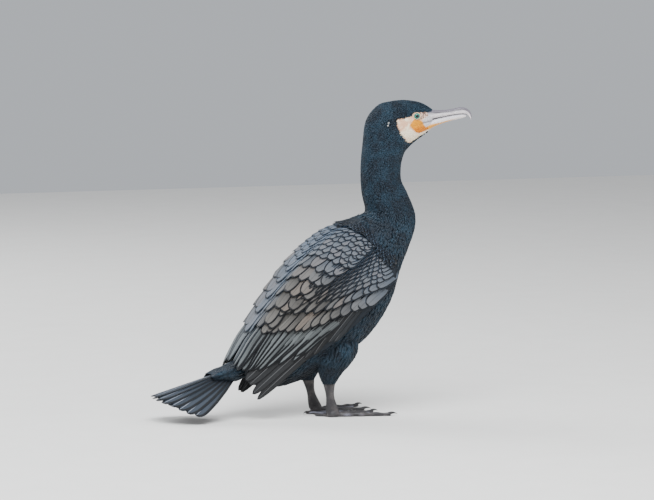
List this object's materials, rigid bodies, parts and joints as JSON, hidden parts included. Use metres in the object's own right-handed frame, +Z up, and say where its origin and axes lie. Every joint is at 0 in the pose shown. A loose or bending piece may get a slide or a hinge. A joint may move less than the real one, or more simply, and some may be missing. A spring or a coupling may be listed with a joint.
{
  "type": "great cormorant",
  "caption": "Life-size great cormorant standing upright on webbed feet, wings closed over the back, long neck raised, hooked bill level, tail fanned behind.",
  "frame": {"origin": "on the floor under the middle of the bird's bounding box", "axes": "+X the way the body faces, +Y the bird's left, +Z up"},
  "size_m": [0.546, 0.1502, 0.5166],
  "materials": {
    "dark_feathers": "blue-black feathers with a soft sheen",
    "wing_feathers": "bronze-grey feathers with glossy blue-black edges",
    "tail_feathers": "slate-black feathers, pale along the shafts",
    "face_skin": "bare yellow skin and short whitish feathers",
    "bill_horn": "satin grey horn",
    "eye": "wet emerald iris and black pupil",
    "foot_skin": "dull grey-black scaled skin"
  },
  "bodies": {
    "root": {"head": "dark_feathers", "face_patch": "face_skin", "bill_upper": "bill_horn", "bill_lower": "bill_horn", "eye_right": "eye", "eye_left": "eye", "neck_upper": "dark_feathers", "neck_lower": "dark_feathers", "torso": "dark_feathers", "tail": "tail_feathers", "wing_right": "wing_feathers", "wing_left": "wing_feathers", "thigh_right": "dark_feathers", "thigh_left": "dark_feathers", "shank_right": "foot_skin", "shank_left": "foot_skin", "foot_right": "foot_skin", "foot_left": "foot_skin"}
  },
  "joints": []
}
